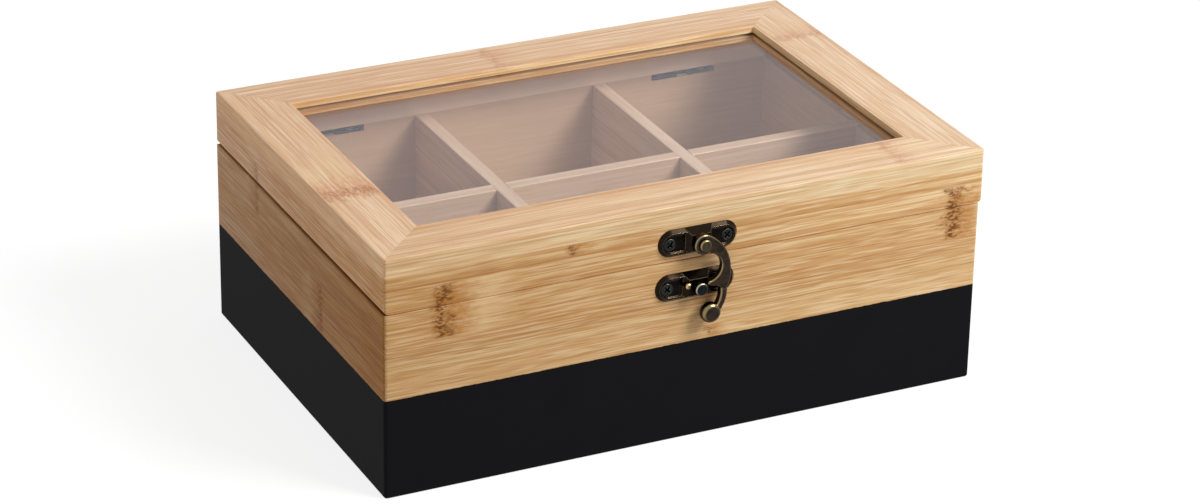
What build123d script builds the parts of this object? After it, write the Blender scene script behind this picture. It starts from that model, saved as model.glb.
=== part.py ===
from build123d import *
import math
import os

# A lidded bamboo tea box with six compartments, a glass window in its lid, two butt hinges
# in the back rim and a swinging hook latch on the front.
# Millimetres. X runs along the front to the right, Y from front to back, Z up.
# The origin is the middle of the underside, which lies on Z = 0.

# ---- box ----
BOX_LENGTH = 230.0
BOX_DEPTH = 158.0
RIM_HEIGHT = 69.2
WALL_THICKNESS = 8.0
CORNER_ROUND = 1.3
FOOT_ROUND = 0.8
RIM_ROUND = 0.2
RIM_SIDE_ROUND = 0.7

# ---- base panel, let into a rabbet of the walls and flush with their lower edges ----
BASE_THICKNESS = 4.0
BASE_RABBET = 4.0
BASE_CLEARANCE = 0.2

# ---- dividers, slotted over each other and let into grooves of the walls ----
DIVIDER_THICKNESS = 5.2
GROOVE_DEPTH = 2.0
DIVIDER_CLEARANCE = 0.1
DIVIDER_EDGE_ROUND = 0.4
COLUMNS = 3

# ---- lid ----
JOINT_GAP = 0.1
LID_OVERHANG = 0.6
LID_SHIFT = 0.6
LID_SETBACK = 0.3
SKIRT_HEIGHT = 13.6
SKIRT_THICKNESS = 8.0
FRAME_THICKNESS = 7.0
FRAME_WIDTH = 21.3
LID_EDGE_ROUND = 0.5
SKIRT_EDGE_ROUND = 0.2
SKIRT_SIDE_ROUND = 2.5
BACK_EDGE_ROUND = 1.5
WINDOW_EDGE_ROUND = 0.3

# ---- window ----
GLASS_THICKNESS = 2.0
GLASS_LIP = 1.9
GLASS_HEADROOM = 0.6
GLASS_HOLD = 3.6
GLASS_CLEARANCE = 0.4

# ---- hinges ----
HINGE_INSET = 42.2
HINGE_SHIFT = -0.4
HINGE_LENGTH = 25.6
BARREL_RADIUS = 1.4
AXIS_INSET = 1.2
LEAF_THICKNESS = 0.9
LEAF_WIDTH = 6.2
LEAF_CORNER = 0.8
LEAF_WINDOW_LENGTH = 5.0
LEAF_WINDOW_DEPTH = 2.0
HINGE_END_GAP = 0.7
KNUCKLE_GAP = 0.2
KNUCKLE_RELIEF = 0.3
PIN_RADIUS = 0.7
PIN_FIT = 0.05

# ---- hinge screws ----
HINGE_SCREW_SPACING = 17.2
HINGE_SCREW_SETBACK = 3.8
HINGE_SCREW_HEAD = 1.75
HINGE_SCREW_SHANK = 0.85
HINGE_SCREW_LENGTH = 9.0

# ---- latch: two pressed plates, a pivoted hook and the stud that it catches ----
LATCH_X = 2.1
LATCH_RISE = 6.9
CATCH_X = 1.3
CATCH_DROP = 9.7
PLATE_LENGTH = 30.6
PLATE_WIDTH = 10.4
PLATE_SHEET = 0.6
LOBE_HEIGHT = 1.4
LOBE_SLOPE = 42.0
LOBE_DISH_DEPTH = 0.5
LOBE_RIM_WIDTH = 0.5
BRIDGE_LENGTH = 11.2
BRIDGE_HEIGHT = 3.2
BRIDGE_SLOPE = 34.0
PLATE_EDGE_ROUND = 0.3

HOOK_CLEARANCE = 0.3
HOOK_THICKNESS = 2.2
HOOK_EDGE_ROUND = 0.8
EYE_RADIUS = 3.8
HOOK_REACH = 10.6
HOOK_BAR = 3.7
TAIL_WIDTH = 2.6
TAIL_DEPTH = 3.2
TAIL_EDGE_ROUND = 0.9
TAIL_SETBACK = 0.2
KNOB_RADIUS = 3.75
KNOB_THICKNESS = 4.4
KNOB_EDGE_ROUND = 1.9
KNOB_OFFSET = 4.4
KNOB_DROP = 10.2

RIVET_RADIUS = 1.5
RIVET_FIT = 0.05
RIVET_HEAD_RADIUS = 2.3
RIVET_HEAD_HEIGHT = 1.1
RIVET_HEAD_GAP = 0.1
SETTING_RADIUS = 2.2
SETTING_THICKNESS = 0.6

STUD_RADIUS = 2.4
STUD_PROUD = 0.5
STUD_NECK_RADIUS = 1.3
STUD_EDGE_ROUND = 0.7
PEG_RADIUS = 1.3
PEG_HEIGHT = 4.1
PEG_X = -3.9
PEG_Z = 0.9

# ---- latch screws ----
LATCH_SCREW_SPACING = 22.0
LATCH_SCREW_HEAD = 2.2
LATCH_SCREW_SHANK = 1.1
LATCH_SCREW_LENGTH = 7.5
SCREW_PROUD = 0.25
SCREW_FIT = 0.04

# ---- places worked out from the sizes above ----
inner_length = BOX_LENGTH - 2 * WALL_THICKNESS
inner_depth = BOX_DEPTH - 2 * WALL_THICKNESS
front_face = -BOX_DEPTH / 2
back_face = BOX_DEPTH / 2
column_pitch = (inner_length + DIVIDER_THICKNESS) / COLUMNS
cross_divider_x = column_pitch / 2
lap_height = (BASE_THICKNESS + RIM_HEIGHT) / 2

lid_length = BOX_LENGTH + 2 * LID_OVERHANG
lid_depth = BOX_DEPTH - 2 * LID_SETBACK
lid_underside = RIM_HEIGHT + JOINT_GAP
frame_underside = lid_underside + SKIRT_HEIGHT
lid_top = frame_underside + FRAME_THICKNESS
lid_front_face = -lid_depth / 2
lid_back_face = lid_depth / 2
lid_reach = {"left": lid_length / 2 - LID_SHIFT, "right": lid_length / 2 + LID_SHIFT}
window_length = lid_length - 2 * FRAME_WIDTH
window_depth = lid_depth - 2 * FRAME_WIDTH
glass_underside = frame_underside + GLASS_LIP

axis_y = back_face - AXIS_INSET
axis_z = lid_underside - BARREL_RADIUS
notch_floor = axis_z - BARREL_RADIUS
relief_radius = BARREL_RADIUS + KNUCKLE_RELIEF
hinge_places = {
    "left": HINGE_SHIFT + HINGE_INSET - BOX_LENGTH / 2,
    "right": HINGE_SHIFT - HINGE_INSET + BOX_LENGTH / 2,
}

pivot_z = lid_underside + LATCH_RISE
stud_z = RIM_HEIGHT - CATCH_DROP
hook_back = front_face - BRIDGE_HEIGHT - HOOK_CLEARANCE
hook_front = hook_back - HOOK_THICKNESS

TALL = 4 * (BOX_LENGTH + BOX_DEPTH + RIM_HEIGHT)
DOWN = (Align.CENTER, Align.CENTER, Align.MAX)
UP = (Align.CENTER, Align.CENTER, Align.MIN)


# ---- shared shapes ----
def span(x, y, z):
    """A box between two places along each axis."""
    size = [high - low for low, high in (x, y, z)]
    middle = [(high + low) / 2 for low, high in (x, y, z)]
    return Pos(*middle) * Box(*size)


def facing_front(x, y, z):
    """A plane that faces the front: its own x is X, its own y is Z and its normal is -Y."""
    return Plane(origin=(x, y, z), x_dir=(1, 0, 0), z_dir=(0, -1, 0))


def rod_x(radius, x, y, z):
    """A cylinder along X between two places."""
    middle = (x[0] + x[1]) / 2
    return Pos(middle, y, z) * Rot(0, 90, 0) * Cylinder(radius, x[1] - x[0])


def polar(radius, degrees):
    """The end of a ray from the origin."""
    turn = math.radians(degrees)
    return Vector(radius * math.cos(turn), radius * math.sin(turn))


def block(length, depth, bottom, top, corner, middle_x=0.0):
    """A board-edged block with rounded upright corners."""
    body = span(
        (middle_x - length / 2, middle_x + length / 2), (-depth / 2, depth / 2), (bottom, top)
    )
    return fillet(body.edges().filter_by(Axis.Z), corner)


def split_at_mitres(ring, length, depth, middle_x=0.0):
    """Cuts a rectangular ring along the 45 degree lines from its corners into its four boards."""
    reach = depth / 2
    left, right = middle_x - length / 2, middle_x + length / 2
    outlines = {
        "front": [(left, -reach), (right, -reach), (right - reach, 0), (left + reach, 0)],
        "back": [(left, reach), (left + reach, 0), (right - reach, 0), (right, reach)],
        "left": [(left, -reach), (left + reach, 0), (left, reach)],
        "right": [(right, -reach), (right, reach), (right - reach, 0)],
    }
    boards = {}
    for side, corners in outlines.items():
        wedge = extrude(make_face(Polyline(*corners, close=True)), TALL / 2, both=True)
        boards[side] = ring & wedge
    return boards


def rounding_cutter(radius, reach, z, upward, side="back"):
    """What rounding takes off one side's outer edge of a board that lies above or below z.

    The edge is as far from the origin as the reach.
    """
    middle = z + radius if upward else z - radius
    low, high = (z - radius, middle) if upward else (middle, z + radius)
    corner = span((-TALL / 2, TALL / 2), (reach - radius, reach + radius), (low, high))
    cutter = corner - rod_x(radius, (-TALL, TALL), reach - radius, middle)
    return Rot(0, 0, {"back": 0, "left": 90, "right": -90}[side]) * cutter


def screw(head_radius, shank_radius, length, fit=0.0):
    """A cross-head countersunk screw along -Z with the rim of its head at the origin.

    With a fit it is the plain envelope that the screw's hole is cut with.
    """
    head, shank = head_radius + fit, shank_radius + fit
    countersink = head_radius - shank_radius
    tip = shank_radius
    body = Cone(shank, head, countersink, align=DOWN)
    body += Pos(0, 0, -countersink) * Cylinder(shank, length - countersink - tip, align=DOWN)
    body += Pos(0, 0, tip - length) * Cone(shank / 4, shank, tip, align=DOWN)
    if fit:
        return body + Cylinder(head, length, align=UP)
    slot = Box(1.35 * head_radius, 0.36 * head_radius, 0.9 * head_radius)
    return body - Rot(0, 0, 45) * slot - Rot(0, 0, -45) * slot


# ---- box ----
def box_walls():
    """The four mitred walls, rabbeted for the base and grooved for the dividers."""
    ring = block(BOX_LENGTH, BOX_DEPTH, 0, RIM_HEIGHT, CORNER_ROUND)
    ring = fillet(ring.faces().sort_by(Axis.Z)[0].edges(), FOOT_ROUND)
    ring = fillet(ring.faces().sort_by(Axis.Z)[-1].edges(), RIM_ROUND)
    ring -= Box(inner_length, inner_depth, TALL)
    rabbet_length = inner_length + 2 * BASE_RABBET
    rabbet_depth = inner_depth + 2 * BASE_RABBET
    ring -= Box(rabbet_length, rabbet_depth, 2 * BASE_THICKNESS)
    slot = DIVIDER_THICKNESS + 2 * DIVIDER_CLEARANCE
    ring -= span(
        (-inner_length / 2 - GROOVE_DEPTH, inner_length / 2 + GROOVE_DEPTH),
        (-slot / 2, slot / 2),
        (BASE_THICKNESS, TALL),
    )
    for x in (-cross_divider_x, cross_divider_x):
        ring -= span(
            (x - slot / 2, x + slot / 2),
            (-inner_depth / 2 - GROOVE_DEPTH, inner_depth / 2 + GROOVE_DEPTH),
            (BASE_THICKNESS, TALL),
        )
    ring -= rounding_cutter(AXIS_INSET, back_face, RIM_HEIGHT, upward=False)
    for side in ("left", "right"):
        ring -= rounding_cutter(RIM_SIDE_ROUND, BOX_LENGTH / 2, RIM_HEIGHT, False, side)
    walls = split_at_mitres(ring, BOX_LENGTH, BOX_DEPTH)
    for x in hinge_places.values():
        half = HINGE_LENGTH / 2 + HINGE_END_GAP
        walls["back"] -= span((x - half, x + half), (inner_depth / 2 - 1, TALL), (notch_floor, TALL))
        walls["back"] -= rod_x(relief_radius, (x - half, x + half), axis_y, axis_z)
    for place in hinge_screw_places("box"):
        walls["back"] -= place * hinge_screw(SCREW_FIT)
    for place in latch_screw_places("catch"):
        walls["front"] -= place * latch_screw(SCREW_FIT)
    return walls


def base_panel():
    """The base, which fills the rabbet in the walls."""
    length = inner_length + 2 * (BASE_RABBET - BASE_CLEARANCE)
    depth = inner_depth + 2 * (BASE_RABBET - BASE_CLEARANCE)
    return Box(length, depth, BASE_THICKNESS, align=UP)


def divider(length):
    """A divider along X through the origin, from the base to the rim."""
    half = length / 2
    board = span(
        (-half, half), (-DIVIDER_THICKNESS / 2, DIVIDER_THICKNESS / 2), (BASE_THICKNESS, RIM_HEIGHT)
    )
    top = board.faces().sort_by(Axis.Z)[-1]
    return fillet(top.edges().filter_by(Axis.X), DIVIDER_EDGE_ROUND)


def lap_slot(bottom, top):
    """The slot by which one divider passes another, square to both."""
    width = DIVIDER_THICKNESS + 2 * DIVIDER_CLEARANCE
    return span((-width / 2, width / 2), (-width, width), (bottom, top))


def long_divider():
    """The divider from side to side, slotted from above."""
    board = divider(inner_length + 2 * (GROOVE_DEPTH - DIVIDER_CLEARANCE))
    for x in (-cross_divider_x, cross_divider_x):
        board -= Pos(x, 0, 0) * lap_slot(lap_height - DIVIDER_CLEARANCE, TALL)
    return board


def cross_divider(x):
    """A divider from front to back, slotted from below."""
    board = divider(inner_depth + 2 * (GROOVE_DEPTH - DIVIDER_CLEARANCE))
    board -= lap_slot(0, lap_height + DIVIDER_CLEARANCE)
    return Pos(x, 0, 0) * Rot(0, 0, 90) * board


# ---- lid ----
def lid_skirts():
    """The four mitred boards under the lid's frame."""
    ring = block(lid_length, lid_depth, lid_underside, frame_underside, CORNER_ROUND, LID_SHIFT)
    ring = fillet(ring.faces().sort_by(Axis.Z)[0].edges(), SKIRT_EDGE_ROUND)
    hollow = Box(lid_length - 2 * SKIRT_THICKNESS, lid_depth - 2 * SKIRT_THICKNESS, TALL)
    ring -= Pos(LID_SHIFT, 0, 0) * hollow
    ring -= rounding_cutter(BACK_EDGE_ROUND, lid_back_face, lid_underside, upward=True)
    for side, reach in lid_reach.items():
        ring -= rounding_cutter(SKIRT_SIDE_ROUND, reach, lid_underside, True, side)
    skirts = split_at_mitres(ring, lid_length, lid_depth, LID_SHIFT)
    for x in hinge_places.values():
        half = HINGE_LENGTH / 2 + HINGE_END_GAP
        skirts["back"] -= rod_x(relief_radius, (x - half, x + half), axis_y, axis_z)
    for place in hinge_screw_places("lid"):
        skirts["back"] -= place * hinge_screw(SCREW_FIT)
    for place in latch_screw_places("latch"):
        skirts["front"] -= place * latch_screw(SCREW_FIT)
    return skirts


def lid_frame():
    """The four mitred boards of the window frame, grooved for the glass."""
    ring = block(lid_length, lid_depth, frame_underside, lid_top, CORNER_ROUND, LID_SHIFT)
    ring = fillet(ring.faces().sort_by(Axis.Z)[-1].edges(), LID_EDGE_ROUND)
    ring -= Pos(LID_SHIFT, 0, 0) * Box(window_length, window_depth, TALL)
    rim = ring.faces().sort_by(Axis.Z)[-1].inner_wires()[0].edges()
    ring = fillet(rim, WINDOW_EDGE_ROUND)
    groove = Box(
        window_length + 2 * GLASS_HOLD,
        window_depth + 2 * GLASS_HOLD,
        GLASS_THICKNESS + GLASS_HEADROOM,
        align=UP,
    )
    ring -= Pos(LID_SHIFT, 0, glass_underside) * groove
    return split_at_mitres(ring, lid_length, lid_depth, LID_SHIFT)


def glass_pane():
    """The pane, lying on the lower lip of the frame's groove."""
    length = window_length + 2 * (GLASS_HOLD - GLASS_CLEARANCE)
    depth = window_depth + 2 * (GLASS_HOLD - GLASS_CLEARANCE)
    return Pos(LID_SHIFT, 0, glass_underside) * Box(length, depth, GLASS_THICKNESS, align=UP)


# ---- hinges ----
def hinge_screw(fit=0.0):
    """A screw of a hinge leaf."""
    return screw(HINGE_SCREW_HEAD, HINGE_SCREW_SHANK, HINGE_SCREW_LENGTH, fit)


def hinge_screw_places(leaf):
    """Where the screws of both hinges stand in the box's leaves or in the lid's leaves."""
    places = []
    for hinge_x in hinge_places.values():
        for offset in (-HINGE_SCREW_SPACING / 2, HINGE_SCREW_SPACING / 2):
            x, y = hinge_x + offset, axis_y - HINGE_SCREW_SETBACK
            if leaf == "box":
                places.append(Pos(x, y, notch_floor + LEAF_THICKNESS))
            else:
                places.append(Pos(x, y, lid_underside - LEAF_THICKNESS) * Rot(180, 0, 0))
    return places


def hinge_leaf(hinge_x, leaf):
    """One leaf: the box's has the two outer knuckles, the lid's has the middle one."""
    half = HINGE_LENGTH / 2
    third = HINGE_LENGTH / 6
    bottom = notch_floor if leaf == "box" else lid_underside - LEAF_THICKNESS
    plate = span(
        (-half, half), (axis_y - LEAF_WIDTH, axis_y), (bottom, bottom + LEAF_THICKNESS)
    )
    free_corners = plate.edges().filter_by(Axis.Z).group_by(Axis.Y)[0]
    plate = fillet(free_corners, LEAF_CORNER)
    plate -= Pos(0, axis_y - LEAF_WIDTH, 0) * Box(LEAF_WINDOW_LENGTH, 2 * LEAF_WINDOW_DEPTH, TALL)
    gap = KNUCKLE_GAP / 2
    middle = [(-third + gap, third - gap)]
    outer = [(-half, -third - gap), (third + gap, half)]
    middle_room = [(-third - gap, third + gap)]
    outer_room = [(-half - 1, -third + gap), (third - gap, half + 1)]
    own, room = (outer, middle_room) if leaf == "box" else (middle, outer_room)
    for x in room:
        plate -= rod_x(relief_radius, x, axis_y, axis_z)
    for x in own:
        plate += rod_x(BARREL_RADIUS, x, axis_y, axis_z)
    plate -= rod_x(PIN_RADIUS + PIN_FIT, (-half - 1, half + 1), axis_y, axis_z)
    plate = Pos(hinge_x, 0, 0) * plate
    for place in hinge_screw_places(leaf):
        plate -= place * hinge_screw(SCREW_FIT)
    return plate


def hinge_pin(hinge_x):
    """The pin through the three knuckles of a hinge."""
    half = HINGE_LENGTH / 2
    pin = rod_x(PIN_RADIUS, (hinge_x - half, hinge_x + half), axis_y, axis_z)
    return fillet(pin.edges().filter_by(GeomType.CIRCLE), PIN_RADIUS / 3)


# ---- latch ----
def latch_screw(fit=0.0):
    """A screw of a latch plate."""
    return screw(LATCH_SCREW_HEAD, LATCH_SCREW_SHANK, LATCH_SCREW_LENGTH, fit)


def latch_screw_places(plate):
    """Where the two screws of the catch plate or of the latch plate stand."""
    if plate == "catch":
        x, face, z = CATCH_X, front_face, stud_z
    else:
        x, face, z = LATCH_X, lid_front_face, pivot_z
    head = face - LOBE_HEIGHT + LOBE_DISH_DEPTH - SCREW_PROUD
    half = LATCH_SCREW_SPACING / 2
    return [facing_front(x + side * half, head, z).location for side in (-1, 1)]


def pressed_rise(outline, height, slope, edge_round=0.0):
    """An outline raised with sloping sides to a flat top, with a rounded edge if one is given."""
    rise = extrude(outline, height, taper=slope)
    if edge_round:
        rise = fillet(rise.faces().sort_by(Axis.Z)[-1].edges(), edge_round)
    return rise


def pressed_form():
    """The front of a plate: dished lobes with a raised bridge between them."""
    lobes = pressed_rise(SlotOverall(PLATE_LENGTH, PLATE_WIDTH), LOBE_HEIGHT, LOBE_SLOPE)
    crest = 2 * (LOBE_HEIGHT * math.tan(math.radians(LOBE_SLOPE)) + LOBE_RIM_WIDTH)
    mouth = SlotOverall(PLATE_LENGTH - crest, PLATE_WIDTH - crest)
    dish = extrude(Pos(0, 0, LOBE_HEIGHT) * mouth, -LOBE_DISH_DEPTH, taper=LOBE_SLOPE)
    bridge = Rectangle(BRIDGE_LENGTH, PLATE_WIDTH)
    return lobes - dish + pressed_rise(bridge, BRIDGE_HEIGHT, BRIDGE_SLOPE, PLATE_EDGE_ROUND)


def pressed_hollow():
    """The hollow behind a plate's bridge, one sheet below its front."""
    bridge = Rectangle(BRIDGE_LENGTH - 3 * PLATE_SHEET, PLATE_WIDTH - 3 * PLATE_SHEET)
    return pressed_rise(bridge, BRIDGE_HEIGHT - PLATE_SHEET, BRIDGE_SLOPE)


def pressed_plate(x, face, z, screws):
    """A sheet plate with a sunk lobe at each end for a screw and a raised bridge between them."""
    plate = facing_front(x, face, z) * (pressed_form() - pressed_hollow())
    for place in latch_screw_places(screws):
        plate -= place * latch_screw(SCREW_FIT)
    return plate


def turned(plane, height, steps):
    """A solid turned about the plane's normal, as (radius, bottom, top) steps from its origin."""
    body = Part()
    for radius, bottom, top in steps:
        body += Pos(0, 0, bottom) * Cylinder(radius, top - bottom, align=UP)
    crown = body.edges().filter_by(GeomType.CIRCLE).sort_by(Axis.Z)[-1]
    return plane * fillet(crown, height)


def pivot_rivet():
    """The rivet that holds the hook to the latch plate, set over behind the sheet."""
    sheet_back = BRIDGE_HEIGHT - PLATE_SHEET
    hook_face = lid_front_face - hook_front
    head = hook_face + RIVET_HEAD_GAP
    steps = [
        (SETTING_RADIUS, sheet_back - SETTING_THICKNESS, sheet_back),
        (RIVET_RADIUS, sheet_back, head),
        (RIVET_HEAD_RADIUS, head, head + RIVET_HEAD_HEIGHT),
    ]
    return turned(facing_front(LATCH_X, lid_front_face, pivot_z), 0.8 * RIVET_HEAD_HEIGHT, steps)


def catch_stud():
    """The stud on the catch plate that the hook closes against."""
    sheet_back = BRIDGE_HEIGHT - PLATE_SHEET
    top = front_face - hook_front + STUD_PROUD
    steps = [
        (SETTING_RADIUS, sheet_back - SETTING_THICKNESS, sheet_back),
        (STUD_NECK_RADIUS, sheet_back, BRIDGE_HEIGHT),
        (STUD_RADIUS, BRIDGE_HEIGHT, top),
    ]
    return turned(facing_front(CATCH_X, front_face, stud_z), STUD_EDGE_ROUND, steps)


def catch_peg():
    """The small peg beside the stud."""
    steps = [(PEG_RADIUS, 0, PEG_HEIGHT)]
    plane = facing_front(CATCH_X + PEG_X, front_face, stud_z + PEG_Z)
    return turned(plane, 0.9 * PEG_RADIUS, steps)


def latch_plate():
    """The plate on the lid, bored for the pivot rivet."""
    plate = pressed_plate(LATCH_X, lid_front_face, pivot_z, "latch")
    bore = facing_front(LATCH_X, lid_front_face, pivot_z) * Cylinder(RIVET_RADIUS, TALL)
    return plate - bore


def catch_plate():
    """The plate on the box, bored for the stud and the peg."""
    plate = pressed_plate(CATCH_X, front_face, stud_z, "catch")
    plate -= facing_front(CATCH_X, front_face, stud_z) * Cylinder(STUD_NECK_RADIUS, TALL)
    peg = facing_front(CATCH_X + PEG_X, front_face, stud_z + PEG_Z)
    return plate - peg * Cylinder(PEG_RADIUS, TALL)


def hook_outline():
    """The flat arm of the hook about its pivot: eye, bow to the right and beak over the stud."""
    stud = Vector(CATCH_X - LATCH_X, stud_z - pivot_z)
    beak = stud + polar(STUD_RADIUS + HOOK_CLEARANCE, 31)
    bow_radius = (abs(beak.Y) - 1 - EYE_RADIUS) / 2
    bow = Vector(HOOK_REACH - HOOK_BAR - bow_radius, -EYE_RADIUS - bow_radius)
    eye_end = bow + polar(bow_radius, 88)
    beak_top = bow + polar(bow_radius, -84)
    eye_start = polar(EYE_RADIUS, 62)
    widest = Vector(HOOK_REACH, bow.Y - 3)
    heel = stud + Vector(10.1, -1.1)
    toe = stud + Vector(7.8, -1.1)
    throat = stud + Vector(6.2, 0.1)
    shoulder = bow + polar(bow_radius + HOOK_BAR, 38)
    edges = [
        Line((0, 0), eye_start),
        ThreePointArc(eye_start, shoulder, widest),
        ThreePointArc(widest, (widest + heel) / 2 + Vector(0.45, 0.1), heel),
        ThreePointArc(heel, stud + Vector(9.0, -1.9), toe),
        Line(toe, throat),
        ThreePointArc(throat, (throat + beak) / 2 + Vector(0.1, -0.35), beak),
        Line(beak, beak_top),
        ThreePointArc(beak_top, bow + polar(bow_radius, 0), eye_end),
        Line(eye_end, (0, 0)),
    ]
    return make_face(Wire(edges)) + Circle(EYE_RADIUS)


def latch_hook():
    """The hook: a flat arm with a hub at its eye, and a deeper tail that ends in a knob."""
    plane = facing_front(LATCH_X, hook_back, pivot_z)
    arm = extrude(hook_outline(), HOOK_THICKNESS)
    face = arm.faces().sort_by(Axis.Z)[-1]
    arm = fillet(face.outer_wire().edges(), HOOK_EDGE_ROUND)
    hub = hook_back - lid_front_face + BRIDGE_HEIGHT + RIVET_HEAD_GAP
    arm += Cylinder(EYE_RADIUS, -hub, align=DOWN)
    arm -= Cylinder(RIVET_RADIUS + RIVET_FIT, TALL)
    stud = Vector(CATCH_X - LATCH_X, stud_z - pivot_z)
    start, bend = stud + Vector(8.6, 0.6), stud + Vector(8.5, -5.6)
    knob = stud + Vector(KNOB_OFFSET, -KNOB_DROP)
    path = ThreePointArc(start, bend, knob + Vector(KNOB_RADIUS / 3, 0))
    section = RectangleRounded(TAIL_DEPTH, TAIL_WIDTH, TAIL_EDGE_ROUND)
    tail = sweep(Plane(origin=path @ 0, x_dir=(0, 0, 1), z_dir=path % 0) * section, path)
    disc = Cylinder(KNOB_RADIUS, KNOB_THICKNESS)
    tail += Pos(*knob) * fillet(disc.edges().filter_by(GeomType.CIRCLE), KNOB_EDGE_ROUND)
    return plane * (arm + Pos(0, 0, HOOK_THICKNESS - TAIL_SETBACK - TAIL_DEPTH / 2) * tail)


# ---- the whole box, one file for each piece ----
def all_pieces():
    """Every piece under its own name."""
    pieces = {f"{side}_wall": wall for side, wall in box_walls().items()}
    pieces["base_panel"] = base_panel()
    pieces["long_divider"] = long_divider()
    pieces["cross_divider_left"] = cross_divider(-cross_divider_x)
    pieces["cross_divider_right"] = cross_divider(cross_divider_x)
    pieces |= {f"lid_{side}_skirt": skirt for side, skirt in lid_skirts().items()}
    pieces |= {f"lid_{side}_frame": board for side, board in lid_frame().items()}
    pieces["glass_pane"] = glass_pane()
    for side, x in hinge_places.items():
        pieces[f"hinge_{side}_box_leaf"] = hinge_leaf(x, "box")
        pieces[f"hinge_{side}_lid_leaf"] = hinge_leaf(x, "lid")
        pieces[f"hinge_{side}_pin"] = hinge_pin(x)
    for leaf in ("box", "lid"):
        screws = [place * hinge_screw() for place in hinge_screw_places(leaf)]
        pieces[f"{leaf}_hinge_screws"] = Compound(screws)
    for plate in ("catch", "latch"):
        screws = [place * latch_screw() for place in latch_screw_places(plate)]
        pieces[f"{plate}_plate_screws"] = Compound(screws)
    pieces["catch_plate"] = catch_plate()
    pieces["catch_stud"] = catch_stud()
    pieces["catch_peg"] = catch_peg()
    pieces["latch_plate"] = latch_plate()
    pieces["pivot_rivet"] = pivot_rivet()
    pieces["latch_hook"] = latch_hook()
    return pieces


os.makedirs("parts", exist_ok=True)
for name, piece in all_pieces().items():
    export_step(piece, f"parts/{name}.step")
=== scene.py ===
"""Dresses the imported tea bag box: bamboo boards, matt paint, window glass, hinges and latch."""

import logging
import math
from dataclasses import dataclass, field
from enum import Enum

import bpy
from mathutils import Matrix, Vector

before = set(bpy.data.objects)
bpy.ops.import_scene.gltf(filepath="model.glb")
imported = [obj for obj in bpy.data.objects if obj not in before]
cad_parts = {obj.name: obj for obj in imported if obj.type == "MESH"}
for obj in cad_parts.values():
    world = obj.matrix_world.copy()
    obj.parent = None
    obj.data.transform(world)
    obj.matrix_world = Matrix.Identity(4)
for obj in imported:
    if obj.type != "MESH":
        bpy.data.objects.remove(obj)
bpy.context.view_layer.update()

LOG = logging.getLogger("tea_box")
MM = 0.001

# Places on the object in millimetres, as the CAD model has them.
HALF_LENGTH = 115.0
HALF_DEPTH = 79.0
JOINT_HEIGHT = 69.35
JOINT_HALF = 0.3
GROOVE_MIDDLE = 86.15
GROOVE_HALF = 1.3
LID_MIDDLE = 0.6
# Half the length and half the depth inside which the glass groove cannot lie.
WINDOW_LENGTH = 95.9
WINDOW_DEPTH = 58.3
# How far in from the outer faces a board's inner side begins, and where it is reached in full.
INNER_START = 6.0
INNER_FULL = 7.6

# Blender's noise lies mostly between these two levels.
NOISE_LOW = 0.3
NOISE_HIGH = 0.7
# How far apart the patterns of two seeds and of two kinds of streak are drawn.
SEED_STRIPS = 7.0
SEED_SHIFT = 137.0
STREAK_SHIFT = 53.0
# The upward part of the normal: above the first a face is flat, below the second it is a side.
FACE_FLAT = 0.75
FACE_UPRIGHT = 0.35
LACQUER_IOR = 1.5


def srgb(code: str) -> tuple[float, float, float, float]:
    """Turns an sRGB hex colour into the linear colour that a shader takes.

    Args:
        code: six hex digits after a hash.

    Returns:
        Red, green and blue from 0 to 1 in linear light, and an alpha of 1.
    """
    parts = [int(code[i : i + 2], 16) / 255 for i in (1, 3, 5)]
    linear = [p / 12.92 if p <= 0.04045 else ((p + 0.055) / 1.055) ** 2.4 for p in parts]
    return (linear[0], linear[1], linear[2], 1.0)


def add_node(
    tree: bpy.types.NodeTree, kind: str, inputs: dict | None = None, **settings: object
) -> bpy.types.Node:
    """Adds a node with its settings and links.

    Args:
        tree: the node tree it goes into.
        kind: the node's Blender type.
        inputs: a value or an output socket for each named or numbered input.
        **settings: the node's own properties.

    Returns:
        The new node.
    """
    node = tree.nodes.new(kind)
    for name, value in settings.items():
        setattr(node, name, value)
    for key, value in (inputs or {}).items():
        if isinstance(value, bpy.types.NodeSocket):
            tree.links.new(value, node.inputs[key])
        else:
            node.inputs[key].default_value = value
    return node


def new_material(name: str) -> tuple[bpy.types.Material, bpy.types.NodeTree, bpy.types.Node]:
    """Starts a material.

    Args:
        name: the material's name.

    Returns:
        The material, its empty node tree and its output node.
    """
    material = bpy.data.materials.new(name)
    material.use_nodes = True
    tree = material.node_tree
    tree.nodes.clear()
    return material, tree, add_node(tree, "ShaderNodeOutputMaterial")


def seen_ray(tree: bpy.types.NodeTree) -> bpy.types.NodeSocket:
    """Adds the mask of the rays that show a surface to the eye, and do not light anything.

    Args:
        tree: the node tree it goes into.

    Returns:
        A socket that is 1 for camera, mirrored and refracted rays.
    """
    path = add_node(tree, "ShaderNodeLightPath").outputs
    seen = path["Is Camera Ray"]
    for ray in ("Is Glossy Ray", "Is Transmission Ray"):
        seen = add_node(
            tree, "ShaderNodeMath", {0: seen, 1: path[ray]}, operation="MAXIMUM"
        ).outputs[0]
    return seen


class Grain(Enum):
    """Which Object axes run along the fibres, across the strips and through the board."""

    WALL_ALONG_X = ("X", "Z", "Y")
    WALL_ALONG_Y = ("Y", "Z", "X")
    FLAT_ALONG_X = ("X", "Y", "Z")
    FLAT_ALONG_Y = ("Y", "X", "Z")


class Gap(Enum):
    """Which narrow gap a board has, where painted shade darkens the surface."""

    NONE = "none"
    JOINT = "joint of lid and box"
    GROOVE = "groove of the glass"


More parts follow.
